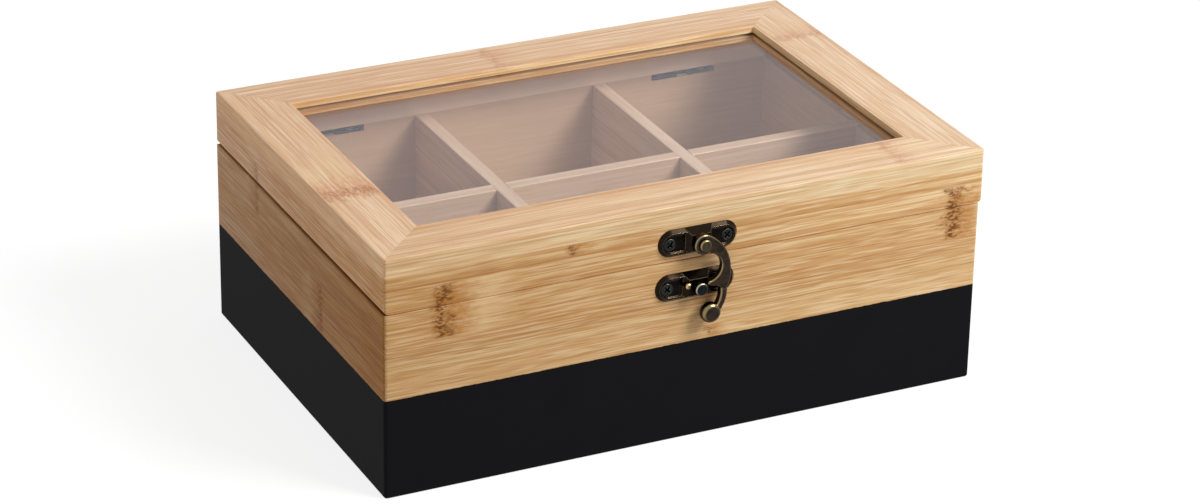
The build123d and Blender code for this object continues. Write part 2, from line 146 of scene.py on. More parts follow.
@dataclass(frozen=True)
class Knot:
    """A node of the bamboo culm, sawn through: a brown, speckled band across one strip.

    Sizes are in millimetres: where its dark line lies along the fibres, how far it feathers
    out from there, and the strip that it crosses.
    """

    along: float
    length: float
    low: float
    high: float
    strength: float = 1.0


@dataclass(frozen=True)
class KnotLayer:
    """One layer of a knot, laid over the board as speckles.

    The span is where it starts, is strongest and ends, in shares of the knot's length. The
    speckles have a length and a width in millimetres, a detail and a shift.
    """

    span: tuple[float, float, float]
    speckle: tuple[float, float, float, float]
    levels: tuple[float, float]
    share: float


# The pale flame beside the knot, its feathered band, and the dark line in it.
KNOT_LAYERS = (
    KnotLayer((0.3, 0.9, 1.8), (6.0, 0.8, 2.0, 41.0), (0.4, 0.6), 0.55),
    KnotLayer((-0.36, 0.05, 1.0), (1.8, 0.5, 2.0, 29.0), (0.4, 0.58), 0.75),
    KnotLayer((-0.3, 0.0, 0.34), (0.9, 0.45, 1.0, 17.0), (0.46, 0.54), 0.85),
)
KNOT_LEAST = 0.2
KNOT_RAGGED = 0.9
KNOT_EDGE = 1.6


@dataclass(frozen=True)
class Streak:
    """One kind of mark drawn out along the fibres, as long and wide as given in millimetres.

    It lies where its noise passes from the low level to the high one.
    """

    length: float
    width: float
    low: float
    high: float
    tint: str
    share: float
    detail: float = 2.0


# The finest dashes are drawn 0.35 to 0.45 mm wide, which is coarser than the real pores of the
# bamboo: those would be too fine to show at this size.
SIDE_FIBRES = (
    Streak(500.0, 9.0, 0.43, 0.6, "#D6B27E", 0.6),
    Streak(600.0, 6.0, 0.5, 0.64, "#BE8C5E", 0.4),
    Streak(320.0, 1.8, 0.45, 0.65, "#B58250", 0.35, 5.0),
    Streak(260.0, 1.4, 0.5, 0.66, "#E0C594", 0.35, 5.0),
    Streak(8.0, 0.35, 0.5, 0.62, "#A67240", 0.4, 1.0),
    Streak(10.0, 0.35, 0.5, 0.62, "#E8D0A6", 0.4, 1.0),
    Streak(700.0, 0.6, 0.62, 0.67, "#98622F", 0.4, 1.0),
)

# The tops of the lid's frame: the bamboo's colour with a painted sheen, paler and pinker than the
# sides.
TOP_FIBRES = (
    Streak(500.0, 9.0, 0.43, 0.6, "#E6C8A6", 0.55),
    Streak(600.0, 6.0, 0.5, 0.64, "#D09A76", 0.3),
    Streak(400.0, 1.6, 0.45, 0.65, "#CB9A70", 0.3, 5.0),
    Streak(300.0, 1.2, 0.5, 0.66, "#EED6B8", 0.35, 5.0),
    Streak(9.0, 0.35, 0.5, 0.62, "#BC8656", 0.35, 1.0),
    Streak(12.0, 0.35, 0.5, 0.62, "#F2DEC2", 0.35, 1.0),
    Streak(700.0, 0.4, 0.55, 0.61, "#AE7244", 0.4, 1.0),
)

INNER_FIBRES = (
    Streak(500.0, 9.0, 0.43, 0.6, "#F0D8BA", 0.6),
    Streak(200.0, 1.8, 0.48, 0.64, "#CFAC88", 0.35, 4.0),
    Streak(160.0, 1.4, 0.5, 0.64, "#F6E4CC", 0.4, 4.0),
    Streak(9.0, 0.45, 0.52, 0.7, "#BE9870", 0.35, 1.0),
)


@dataclass(frozen=True)
class Tone:
    """How a board's colour differs from the base, as ratios of its red, green and blue.

    A board is darker at one end than at the other. Its upright faces take other ratios,
    outside and round the window: these are painted light and shade, which set how brightly
    each side looks lit.
    """

    near: tuple[float, float, float] = (1.0, 1.0, 1.0)
    far: tuple[float, float, float] = (1.0, 1.0, 1.0)
    # Painted light and shade on the upright outer faces, and on the upright faces round the window.
    edge: tuple[float, float, float] = (1.0, 1.0, 1.0)
    window: tuple[float, float, float] = (1.0, 1.0, 1.0)


@dataclass(frozen=True)
class Bamboo:
    """Natural bamboo, planed strips glued edge to edge under a satin lacquer.

    Fibres give fine pale and tan streaks along each board, each strip has its own tone and
    a faint glue line at its edge, and the culm's nodes show as feathered brown bands.
    """

    name: str
    grain: Grain
    seed: float = 0.0
    knots: tuple[Knot, ...] = ()
    base: str = "#C89C66"
    fibres: tuple[Streak, ...] = SIDE_FIBRES
    knot_pale: str = "#E0C294"
    knot_tan: str = "#AC6C28"
    knot_brown: str = "#5E3006"
    strip_tint: str = "#BC9462"
    tone: Tone = Tone()
    # The colour and share that the inner faces turn toward: partly the wood's paler inside, partly
    # painted light.
    inner: str = "#E6C8A6"
    inner_share: float = 0.0
    # The colour of the painted shade in the board's narrow gap.
    shadow: str = "#4A2E1A"
    gap: Gap = Gap.NONE
    gap_share: float = 0.45
    inner_gap_share: float = 0.1
    strip_width: float = 21.0
    strip_start: float = 57.0
    strip_share: float = 0.55
    glue_width: float = 0.35
    glue_share: float = 0.45
    wander: float = 1.0
    gloss: float = 0.35
    satin: tuple[float, float] = (0.56, 0.42)
    relief: float = 0.06
    painted: bool = False

    def coordinates(self, tree: bpy.types.NodeTree) -> tuple:
        """Reads the piece's place in millimetres, with the fibres' slight waviness.

        Args:
            tree: the material's node tree.

        Returns:
            The sockets for along the fibres, across the strips with the waves, and through the
            board, then the plain place as X, Y and Z sockets, and across without the waves.
        """
        place = add_node(tree, "ShaderNodeTexCoord").outputs["Object"]
        scaled = add_node(
            tree, "ShaderNodeVectorMath", {0: place, "Scale": 1 / MM}, operation="SCALE"
        ).outputs[0]
        parts = add_node(tree, "ShaderNodeSeparateXYZ", {0: scaled}).outputs
        along, across, through = (parts[axis] for axis in self.grain.value)
        wave = add_node(
            tree,
            "ShaderNodeTexNoise",
            {"Vector": scaled, "Scale": 0.011, "Detail": 1.0},
        ).outputs["Fac"]
        waved = add_node(
            tree,
            "ShaderNodeMath",
            {0: wave, 1: 2 * self.wander, 2: across},
            operation="MULTIPLY_ADD",
        ).outputs[0]
        return along, waved, through, parts, across

    def strip(self, tree: bpy.types.NodeTree, axes: tuple) -> tuple:
        """Numbers the strips.

        Args:
            tree: the material's node tree.
            axes: the sockets from coordinates.

        Returns:
            A random socket that is the same all over a strip, and the distance in strip widths
            from the nearest glue line.
        """
        count = add_node(
            tree,
            "ShaderNodeMath",
            {
                0: axes[4],
                1: 1 / self.strip_width,
                2: self.seed * SEED_STRIPS - self.strip_start / self.strip_width,
            },
            operation="MULTIPLY_ADD",
        ).outputs[0]
        number = add_node(tree, "ShaderNodeMath", {0: count}, operation="FLOOR").outputs[0]
        tone = add_node(
            tree, "ShaderNodeTexWhiteNoise", {"W": number}, noise_dimensions="1D"
        ).outputs["Value"]
        line = add_node(tree, "ShaderNodeMath", {0: count, 1: 0.5}, operation="PINGPONG").outputs[0]
        return tone, line

    def noise(
        self,
        tree: bpy.types.NodeTree,
        axes: tuple,
        length: float,
        width: float,
        detail: float,
        shift: float = 0.0,
    ) -> bpy.types.NodeSocket:
        """Adds noise drawn out along the fibres.

        Args:
            tree: the material's node tree.
            axes: the sockets from coordinates.
            length: a mark's length in millimetres.
            width: a mark's width in millimetres.
            detail: how many finer layers it has.
            shift: how far it is moved along, in widths.

        Returns:
            The noise's socket, about 0.5 in the middle.
        """
        along, across, through = axes[:3]
        stretched = add_node(
            tree,
            "ShaderNodeMath",
            {0: along, 1: width / length, 2: self.seed * SEED_SHIFT + shift * width},
            operation="MULTIPLY_ADD",
        ).outputs[0]
        place = add_node(
            tree, "ShaderNodeCombineXYZ", {0: stretched, 1: across, 2: through}
        ).outputs[0]
        return add_node(
            tree,
            "ShaderNodeTexNoise",
            {"Vector": place, "Scale": 0.5 / width, "Detail": detail, "Roughness": 0.6},
        ).outputs["Fac"]

    def inside(
        self, tree: bpy.types.NodeTree, parts: bpy.types.NodeOutputs
    ) -> bpy.types.NodeSocket:
        """Adds the mask of the boards' inner faces.

        Args:
            tree: the material's node tree.
            parts: the place in millimetres, as X, Y and Z sockets.

        Returns:
            A socket that is 1 on the inner faces and 0 on the outer ones.
        """
        sizes = []
        for axis, half in (("X", HALF_LENGTH), ("Y", HALF_DEPTH)):
            size = add_node(
                tree, "ShaderNodeMath", {0: parts[axis]}, operation="ABSOLUTE"
            ).outputs[0]
            sizes.append(
                add_node(
                    tree,
                    "ShaderNodeMapRange",
                    {"Value": size, 1: half - INNER_START, 2: half - INNER_FULL},
                ).outputs[0]
            )
        return add_node(
            tree, "ShaderNodeMath", {0: sizes[0], 1: sizes[1]}, operation="MINIMUM"
        ).outputs[0]

    def bare(self, tree: bpy.types.NodeTree, axes: tuple) -> tuple:
        """Adds the colour of the board without knots.

        Args:
            tree: the material's node tree.
            axes: the sockets from coordinates.

        Returns:
            The colour's socket, and the finest fibres' socket for relief and gloss.
        """
        tone, line = self.strip(tree, axes)
        share = add_node(
            tree, "ShaderNodeMath", {0: tone, 1: self.strip_share}, operation="MULTIPLY"
        ).outputs[0]
        colour = add_node(
            tree,
            "ShaderNodeMix",
            {0: share, 6: srgb(self.base), 7: srgb(self.strip_tint)},
            data_type="RGBA",
        ).outputs[2]
        for index, streak in enumerate(self.fibres):
            mark = self.noise(
                tree,
                axes,
                streak.length,
                streak.width,
                streak.detail,
                STREAK_SHIFT * (index + 1),
            )
            share = add_node(
                tree,
                "ShaderNodeMapRange",
                {"Value": mark, 1: streak.low, 2: streak.high, 3: 0.0, 4: streak.share},
            ).outputs[0]
            colour = add_node(
                tree,
                "ShaderNodeMix",
                {0: share, 6: colour, 7: srgb(streak.tint)},
                data_type="RGBA",
            ).outputs[2]
        glue = add_node(
            tree,
            "ShaderNodeMapRange",
            {"Value": line, 1: self.glue_width / self.strip_width, 2: 0.0, 4: self.glue_share},
        ).outputs[0]
        colour = add_node(
            tree,
            "ShaderNodeMix",
            {0: glue, 6: colour, 7: srgb(self.knot_tan)},
            data_type="RGBA",
        ).outputs[2]
        return self.toned(tree, axes, colour), mark

    def toned(
        self, tree: bpy.types.NodeTree, axes: tuple, colour: bpy.types.NodeSocket
    ) -> bpy.types.NodeSocket:
        """Changes the colour from end to end, and paints light and shade on the upright faces, on
        the inner faces, which are also paler wood, and in narrow gaps.

        Args:
            tree: the material's node tree.
            axes: the sockets from coordinates.
            colour: the colour of the fibres.

        Returns:
            The changed colour.
        """
        inside = self.inside(tree, axes[3])
        facing = add_node(
            tree,
            "ShaderNodeSeparateXYZ",
            {0: add_node(tree, "ShaderNodeTexCoord").outputs["Normal"]},
        ).outputs["Z"]
        upright = add_node(
            tree, "ShaderNodeMapRange", {"Value": facing, 1: FACE_FLAT, 2: FACE_UPRIGHT}
        ).outputs[0]
        run = add_node(
            tree, "ShaderNodeMapRange", {"Value": axes[0], 1: -HALF_LENGTH, 2: HALF_LENGTH}
        ).outputs[0]
        # Painted light and shade: upright outer faces and upright faces round the window take their
        # own ratios.
        upright_light_ratio = add_node(
            tree,
            "ShaderNodeMix",
            {0: inside, 4: self.tone.edge, 5: self.tone.window},
            data_type="VECTOR",
        ).outputs[1]
        for share, first, second in (
            (run, self.tone.near, self.tone.far),
            (upright, (1.0, 1.0, 1.0), upright_light_ratio),
        ):
            ratio = add_node(
                tree, "ShaderNodeMix", {0: share, 4: first, 5: second}, data_type="VECTOR"
            ).outputs[1]
            colour = add_node(
                tree, "ShaderNodeVectorMath", {0: colour, 1: ratio}, operation="MULTIPLY"
            ).outputs[0]
        # The inner faces turn toward a paler colour: partly the wood's paler inside, partly painted
        # light.
        inner_pale_and_lit = add_node(
            tree, "ShaderNodeMath", {0: inside, 1: self.inner_share}, operation="MULTIPLY"
        ).outputs[0]
        layers = [(inner_pale_and_lit, self.inner)]
        # Painted shade in the joint of lid and box, and in the glass groove.
        if self.gap is not Gap.NONE:
            layers.append((self.gap_mask(tree, axes[3], inside), self.shadow))
        for share, tint in layers:
            colour = add_node(
                tree,
                "ShaderNodeMix",
                {0: share, 6: colour, 7: srgb(tint)},
                data_type="RGBA",
            ).outputs[2]
        return colour

    def gap_mask(
        self,
        tree: bpy.types.NodeTree,
        parts: bpy.types.NodeOutputs,
        inside: bpy.types.NodeSocket,
    ) -> bpy.types.NodeSocket:
        """Adds the mask of the painted shade in the board's narrow gap.

        Args:
            tree: the material's node tree.
            parts: the place in millimetres, as X, Y and Z sockets.
            inside: the mask of the inner faces.

        Returns:
            A socket that is above 0 in the glass groove, or along the joint of lid and box.
        """
        groove = self.gap is Gap.GROOVE
        centre, half = (GROOVE_MIDDLE, GROOVE_HALF) if groove else (JOINT_HEIGHT, JOINT_HALF)
        distance = add_node(
            tree, "ShaderNodeMath", {0: parts["Z"], 1: centre}, operation="SUBTRACT"
        ).outputs[0]
        height = add_node(tree, "ShaderNodeMath", {0: distance}, operation="ABSOLUTE").outputs[0]
        level = add_node(
            tree, "ShaderNodeMath", {0: height, 1: half}, operation="LESS_THAN"
        ).outputs[0]
        if not groove:
            share = add_node(
                tree,
                "ShaderNodeMapRange",
                {"Value": inside, 3: self.gap_share, 4: self.inner_gap_share},
            ).outputs[0]
            return add_node(
                tree, "ShaderNodeMath", {0: level, 1: share}, operation="MULTIPLY"
            ).outputs[0]
        beyond = []
        for axis, middle, reach in (("X", LID_MIDDLE, WINDOW_LENGTH), ("Y", 0.0, WINDOW_DEPTH)):
            offset = add_node(
                tree, "ShaderNodeMath", {0: parts[axis], 1: middle}, operation="SUBTRACT"
            ).outputs[0]
            size = add_node(tree, "ShaderNodeMath", {0: offset}, operation="ABSOLUTE").outputs[0]
            beyond.append(
                add_node(
                    tree, "ShaderNodeMath", {0: size, 1: reach}, operation="GREATER_THAN"
                ).outputs[0]
            )
        mask = add_node(
            tree, "ShaderNodeMath", {0: beyond[0], 1: beyond[1]}, operation="MAXIMUM"
        ).outputs[0]
        for factor in (level, inside):
            mask = add_node(
                tree, "ShaderNodeMath", {0: mask, 1: factor}, operation="MULTIPLY"
            ).outputs[0]
        return mask

    def knot_masks(
        self, tree: bpy.types.NodeTree, axes: tuple, knot: Knot, wander: bpy.types.NodeSocket
    ) -> tuple:
        """Adds the masks of one knot.

        Args:
            tree: the material's node tree.
            axes: the sockets from coordinates.
            knot: the knot.
            wander: noise that moves its edges along the fibres.

        Returns:
            The masks of the pale flame beside it, the feathered band and the dark line in it.
        """
        moved = add_node(
            tree,
            "ShaderNodeMath",
            {0: wander, 1: KNOT_RAGGED * knot.length, 2: axes[0]},
            operation="MULTIPLY_ADD",
        ).outputs[0]
        offset = add_node(
            tree, "ShaderNodeMath", {0: moved, 1: knot.along}, operation="SUBTRACT"
        ).outputs[0]
        middle, half = (knot.low + knot.high) / 2, (knot.high - knot.low) / 2
        height = add_node(
            tree, "ShaderNodeMath", {0: axes[1], 1: middle + self.wander}, operation="SUBTRACT"
        ).outputs[0]
        inside = add_node(tree, "ShaderNodeMath", {0: height}, operation="ABSOLUTE").outputs[0]
        full = half - min(KNOT_EDGE, half / 2)
        strip = add_node(
            tree,
            "ShaderNodeMapRange",
            {"Value": inside, 1: half, 2: full, 3: 0.0, 4: knot.strength},
            interpolation_type="SMOOTHSTEP",
        ).outputs[0]
        masks = []
        for start, top, end in (layer.span for layer in KNOT_LAYERS):
            mask = strip
            for limit in (start, end):
                side = add_node(
                    tree,
                    "ShaderNodeMapRange",
                    {"Value": offset, 1: limit * knot.length, 2: top * knot.length},
                    interpolation_type="SMOOTHSTEP",
                ).outputs[0]
                mask = add_node(
                    tree, "ShaderNodeMath", {0: mask, 1: side}, operation="MULTIPLY"
                ).outputs[0]
            masks.append(mask)
        return masks

    def with_knots(
        self, tree: bpy.types.NodeTree, axes: tuple, colour: bpy.types.NodeSocket
    ) -> bpy.types.NodeSocket:
        """Lays the knots over the board's colour.

        Args:
            tree: the material's node tree.
            axes: the sockets from coordinates.
            colour: the colour without knots.

        Returns:
            The colour with knots.
        """
        edge = self.noise(tree, axes, 3.0, 1.6, 4.0, 11.0)
        wander = add_node(
            tree, "ShaderNodeMath", {0: edge, 1: 0.5}, operation="SUBTRACT"
        ).outputs[0]
        speckles = [self.noise(tree, axes, *layer.speckle) for layer in KNOT_LAYERS]
        masks = [self.knot_masks(tree, axes, knot, wander) for knot in self.knots]
        tints = (self.knot_pale, self.knot_tan, self.knot_brown)
        outer = add_node(
            tree,
            "ShaderNodeMath",
            {0: 1.0, 1: self.inside(tree, axes[3]) if self.gap is Gap.JOINT else 0.0},
            operation="SUBTRACT",
        ).outputs[0]
        for layer, speckle, tint, (total, *others) in zip(
            KNOT_LAYERS, speckles, tints, zip(*masks)
        ):
            for other in others:
                total = add_node(
                    tree, "ShaderNodeMath", {0: total, 1: other}, operation="MAXIMUM"
                ).outputs[0]
            low, high = layer.levels
            share = add_node(
                tree,
                "ShaderNodeMapRange",
                {"Value": speckle, 1: low, 2: high, 3: KNOT_LEAST, 4: layer.share},
            ).outputs[0]
            for factor in (total, outer):
                share = add_node(
                    tree, "ShaderNodeMath", {0: share, 1: factor}, operation="MULTIPLY"
                ).outputs[0]
            colour = add_node(
                tree, "ShaderNodeMix", {0: share, 6: colour, 7: srgb(tint)}, data_type="RGBA"
            ).outputs[2]
        return colour

    def material(self) -> bpy.types.Material:
        """Builds the material of this board.

        Returns:
            The material.
        """
        made, tree, output = new_material(self.name)
        axes = self.coordinates(tree)
        colour, fibres = self.bare(tree, axes)
        if self.knots:
            colour = self.with_knots(tree, axes, colour)
        dull, glossy = self.satin
        rough = add_node(
            tree,
            "ShaderNodeMapRange",
            {"Value": fibres, 1: NOISE_LOW, 2: NOISE_HIGH, 3: dull, 4: glossy},
        ).outputs[0]
        shader = add_node(
            tree,
            "ShaderNodeBsdfPrincipled",
            {"IOR": LACQUER_IOR, "Specular IOR Level": self.gloss},
        )
        relief = fibres
        if self.painted:
            paint = PaintedFoot()
            mask = paint.mask(tree, axes[3])
            colour = paint.over(tree, axes[3], colour, mask)
            rough = add_node(
                tree, "ShaderNodeMix", {0: mask, 2: rough, 3: paint.roughness}
            ).outputs[0]
            relief = add_node(
                tree,
                "ShaderNodeMath",
                {0: mask, 1: paint.film, 2: fibres},
                operation="MULTIPLY_ADD",
            ).outputs[0]
        bump = add_node(
            tree,
            "ShaderNodeBump",
            {"Strength": 0.25, "Distance": self.relief * MM, "Height": relief},
        ).outputs[0]
        for name, socket in (("Base Color", colour), ("Roughness", rough), ("Normal", bump)):
            tree.links.new(socket, shader.inputs[name])
        tree.links.new(shader.outputs[0], output.inputs[0])
        return made


@dataclass(frozen=True)
class PaintedFoot:
    """Matt black acrylic paint, sprayed up to a masked line on the box's outer faces.

    It is an even near-black with almost no gloss, and its edge bleeds a little along the fibres.
    Sizes are in millimetres, and the film's height is in shares of the grain's relief.
    """

    top: float = 37.4
    bleed: float = 0.5
    skin: float = 1.6
    underside: float = 0.9
    film: float = 0.8
    roughness: float = 0.7
    black: str = "#0C0C0E"
    worn: str = "#111113"

    def mask(
        self, tree: bpy.types.NodeTree, parts: bpy.types.NodeOutputs
    ) -> bpy.types.NodeSocket:
        """Adds the mask of the painted lower part of the box's outer faces and underside.

        Args:
            tree: the material's node tree.
            parts: the place in millimetres, as X, Y and Z sockets.

        Returns:
            A socket that is 1 on the paint and 0 on bare bamboo.
        """
        place = add_node(
            tree, "ShaderNodeCombineXYZ", {0: parts["X"], 1: parts["Y"], 2: parts["Z"]}
        ).outputs[0]
        ragged = add_node(
            tree, "ShaderNodeTexNoise", {"Vector": place, "Scale": 0.5, "Detail": 3.0}
        ).outputs["Fac"]
        line = add_node(
            tree,
            "ShaderNodeMath",
            {0: ragged, 1: self.bleed, 2: self.top - self.bleed / 2},
            operation="MULTIPLY_ADD",
        ).outputs[0]
        below = add_node(
            tree, "ShaderNodeMath", {0: parts["Z"], 1: line}, operation="LESS_THAN"
        ).outputs[0]
        outer = add_node(
            tree, "ShaderNodeMath", {0: parts["Z"], 1: self.underside}, operation="LESS_THAN"
        ).outputs[0]
        for axis, half in (("X", HALF_LENGTH), ("Y", HALF_DEPTH)):
            size = add_node(
                tree, "ShaderNodeMath", {0: parts[axis]}, operation="ABSOLUTE"
            ).outputs[0]
            reach = add_node(
                tree, "ShaderNodeMath", {0: size, 1: half - self.skin}, operation="GREATER_THAN"
            ).outputs[0]
            outer = add_node(
                tree, "ShaderNodeMath", {0: outer, 1: reach}, operation="MAXIMUM"
            ).outputs[0]
        return add_node(
            tree, "ShaderNodeMath", {0: below, 1: outer}, operation="MULTIPLY"
        ).outputs[0]

    def over(
        self,
        tree: bpy.types.NodeTree,
        parts: bpy.types.NodeOutputs,
        colour: bpy.types.NodeSocket,
        mask: bpy.types.NodeSocket,
    ) -> bpy.types.NodeSocket:
        """Lays the paint over the bamboo.

        Args:
            tree: the material's node tree.
            parts: the place in millimetres, as X, Y and Z sockets.
            colour: the bamboo's colour.
            mask: where the paint is.

        Returns:
            The colour of both.
        """
        place = add_node(
            tree, "ShaderNodeCombineXYZ", {0: parts["X"], 1: parts["Y"], 2: parts["Z"]}
        ).outputs[0]
        cloud = add_node(
            tree, "ShaderNodeTexNoise", {"Vector": place, "Scale": 0.06, "Detail": 5.0}
        ).outputs["Fac"]
        paint = add_node(
            tree,
            "ShaderNodeMix",
            {0: cloud, 6: srgb(self.black), 7: srgb(self.worn)},
            data_type="RGBA",
        ).outputs[2]
        return add_node(
            tree, "ShaderNodeMix", {0: mask, 6: colour, 7: paint}, data_type="RGBA"
        ).outputs[2]


@dataclass(frozen=True)
class WindowGlass:
    """Clear float glass, polished: it mirrors the studio at a low angle and shows the inside."""

    name: str = "window_float_glass"
    ior: float = 1.5
    mirror: float = 0.68
    cool: str = "#F8F6FA"
    clear: str = "#FDFCFF"
    passed_light: str = "#F6F5F4"

    def material(self) -> bpy.types.Material:
        """Builds the glass, which lets lamps light what lies behind it.

        Returns:
            The material.
        """
        made, tree, output = new_material(self.name)
        place = add_node(tree, "ShaderNodeTexCoord").outputs["Object"]
        film = add_node(
            tree, "ShaderNodeTexNoise", {"Vector": place, "Scale": 18.0, "Detail": 2.0}
        ).outputs["Fac"]
        tint = add_node(
            tree,
            "ShaderNodeMix",
            {0: film, 6: srgb(self.cool), 7: srgb(self.clear)},
            data_type="RGBA",
        ).outputs[2]
        bent = add_node(
            tree, "ShaderNodeBsdfRefraction", {"Color": tint, "Roughness": 0.0, "IOR": self.ior}
        )
        shine = add_node(tree, "ShaderNodeBsdfAnisotropic", {"Color": tint, "Roughness": 0.0})
        rim = add_node(tree, "ShaderNodeFresnel", {"IOR": self.ior}).outputs[0]
        share = add_node(
            tree, "ShaderNodeMath", {0: rim, 1: self.mirror}, operation="MULTIPLY"
        ).outputs[0]
        glass = add_node(
            tree, "ShaderNodeMixShader", {0: share, 1: bent.outputs[0], 2: shine.outputs[0]}
        )
        path = add_node(tree, "ShaderNodeLightPath").outputs
        clear = add_node(tree, "ShaderNodeBsdfTransparent", {"Color": srgb(self.passed_light)})
        lamp = add_node(
            tree,
            "ShaderNodeMath",
            {0: path["Is Shadow Ray"], 1: path["Is Diffuse Ray"]},
            operation="MAXIMUM",
        ).outputs[0]
        both = add_node(
            tree, "ShaderNodeMixShader", {0: lamp, 1: glass.outputs[0], 2: clear.outputs[0]}
        )
        tree.links.new(both.outputs[0], output.inputs[0])
        return made


# How closely the bevelled normal matches the true one: an edge starts at the first.
SHARP_START = 0.985
SHARP_FULL = 0.85
# The side from which the painted highlight falls on the slopes: from above and from the left.
HIGHLIGHT_SIDE = (-0.6, 0.0, 0.8)
# How far a front face turns away where its slope starts, and where the slope becomes a side.
SLOPE_FROM_FRONT = (0.97, 0.85)
SLOPE_FROM_SIDE = (0.3, 0.55)
SLOPE_HIGHLIGHT = (-0.1, 0.45)
SLOPE_LEAST = 0.15


@dataclass(frozen=True)
class WornMetal:
    """A plated metal whose finish is rubbed through at its edges, with highlights painted there.

    The flats keep the dark plating, with cloudy patches, hollows hold a darker patina, and
    the outer edges show the bright metal, partly as wear and partly as a painted highlight.
    The slopes round the front faces carry a painted highlight. Sizes are in millimetres.
    """

    name: str
    dark: str
    cloud: str
    bright: str
    patina: str
    roughness: float
    edge: float = 0.3
    wear_and_highlight: float = 0.85
    slope: str = ""
    duller: float = 0.08
    smoother: float = 0.06

    def sharp(self, tree: bpy.types.NodeTree) -> bpy.types.NodeSocket:
        """Adds the mask of the sharp edges, where the finish is rubbed off and a highlight is
        painted.

        Args:
            tree: the material's node tree.

        Returns:
            A socket that is above 0 on the sharp edges.
        """
        true_normal = add_node(tree, "ShaderNodeNewGeometry").outputs["Normal"]
        bevelled = add_node(
            tree, "ShaderNodeBevel", {"Radius": self.edge * MM}, samples=8
        ).outputs[0]
        match = add_node(
            tree, "ShaderNodeVectorMath", {0: bevelled, 1: true_normal}, operation="DOT_PRODUCT"
        ).outputs["Value"]
        return add_node(
            tree,
            "ShaderNodeMapRange",
            {"Value": match, 1: SHARP_START, 2: SHARP_FULL, 4: self.wear_and_highlight},
        ).outputs[0]

    def sloping(self, tree: bpy.types.NodeTree) -> bpy.types.NodeSocket:
        """Adds the mask of the painted highlight on the rounded edges round the front faces.

        The painted highlight is strongest on the slopes that face up and to the left.

        Args:
            tree: the material's node tree.

        Returns:
            A socket that is above 0 on the slopes between a front face and its sides.
        """
        normal = add_node(tree, "ShaderNodeTexCoord").outputs["Normal"]
        front = add_node(tree, "ShaderNodeSeparateXYZ", {0: normal}).outputs["Y"]
        facing = add_node(tree, "ShaderNodeMath", {0: front}, operation="ABSOLUTE").outputs[0]
        reach = add_node(
            tree, "ShaderNodeVectorMath", {0: normal, 1: HIGHLIGHT_SIDE}, operation="DOT_PRODUCT"
        ).outputs["Value"]
        # Painted highlight: the share is narrowed to the slopes and weighted toward the upper left.
        mask = self.wear_and_highlight
        for value, (start, end), least in (
            (facing, SLOPE_FROM_FRONT, 0.0),
            (facing, SLOPE_FROM_SIDE, 0.0),
            (reach, SLOPE_HIGHLIGHT, SLOPE_LEAST),
        ):
            step = add_node(
                tree, "ShaderNodeMapRange", {"Value": value, 1: start, 2: end, 3: least}
            ).outputs[0]
            mask = add_node(
                tree, "ShaderNodeMath", {0: mask, 1: step}, operation="MULTIPLY"
            ).outputs[0]
        return mask

    def material(self) -> bpy.types.Material:
        """Builds the metal.

        Returns:
            The material.
        """
        made, tree, output = new_material(self.name)
        place = add_node(tree, "ShaderNodeTexCoord").outputs["Object"]
        patch = add_node(
            tree,
            "ShaderNodeTexNoise",
            {"Vector": place, "Scale": 420.0, "Detail": 4.0, "Roughness": 0.6},
        ).outputs["Fac"]
        share = add_node(
            tree, "ShaderNodeMapRange", {"Value": patch, 1: 0.35, 2: 0.7, 3: 0.0, 4: 1.0}
        ).outputs[0]
        colour = add_node(
            tree,
            "ShaderNodeMix",
            {0: share, 6: srgb(self.dark), 7: srgb(self.cloud)},
            data_type="RGBA",
        ).outputs[2]
        open_sky = add_node(
            tree, "ShaderNodeAmbientOcclusion", {"Distance": 1.6 * MM}, samples=8
        ).outputs["AO"]
        hollow = add_node(
            tree, "ShaderNodeMapRange", {"Value": open_sky, 1: 0.8, 2: 0.45, 3: 0.0, 4: 0.9}
        ).outputs[0]
        # The bright sharp edges are partly wear and partly a painted highlight; the slope colour is
        # a painted highlight.
        layers = [(self.sharp(tree), self.bright), (hollow, self.patina)]
        if self.slope:
            layers.insert(0, (self.sloping(tree), self.slope))
        for share, tint in layers:
            colour = add_node(
                tree, "ShaderNodeMix", {0: share, 6: colour, 7: srgb(tint)}, data_type="RGBA"
            ).outputs[2]
        rough = add_node(
            tree,
            "ShaderNodeMapRange",
            {
                "Value": patch,
                1: NOISE_LOW,
                2: NOISE_HIGH,
                3: self.roughness + self.duller,
                4: self.roughness - self.smoother,
            },
        ).outputs[0]
        round_normal = add_node(
            tree, "ShaderNodeBevel", {"Radius": self.edge * MM}, samples=8
        ).outputs[0]
        bump = add_node(
            tree,
            "ShaderNodeBump",
            {"Strength": 0.1, "Distance": 0.03 * MM, "Height": patch, "Normal": round_normal},
        ).outputs[0]
        shader = add_node(
            tree,
            "ShaderNodeBsdfPrincipled",
            {"Base Color": colour, "Metallic": 1.0, "Roughness": rough, "Normal": bump},
        )
        tree.links.new(shader.outputs[0], output.inputs[0])
        return made


def dress(node: str, material: bpy.types.Material) -> None:
    """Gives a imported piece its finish.

    Args:
        node: the piece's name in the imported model.
        material: its finish.
    """
    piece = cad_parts[node]
    piece.data.materials.clear()
    piece.data.materials.append(material)
    LOG.info("%s: %s", node, material.name)


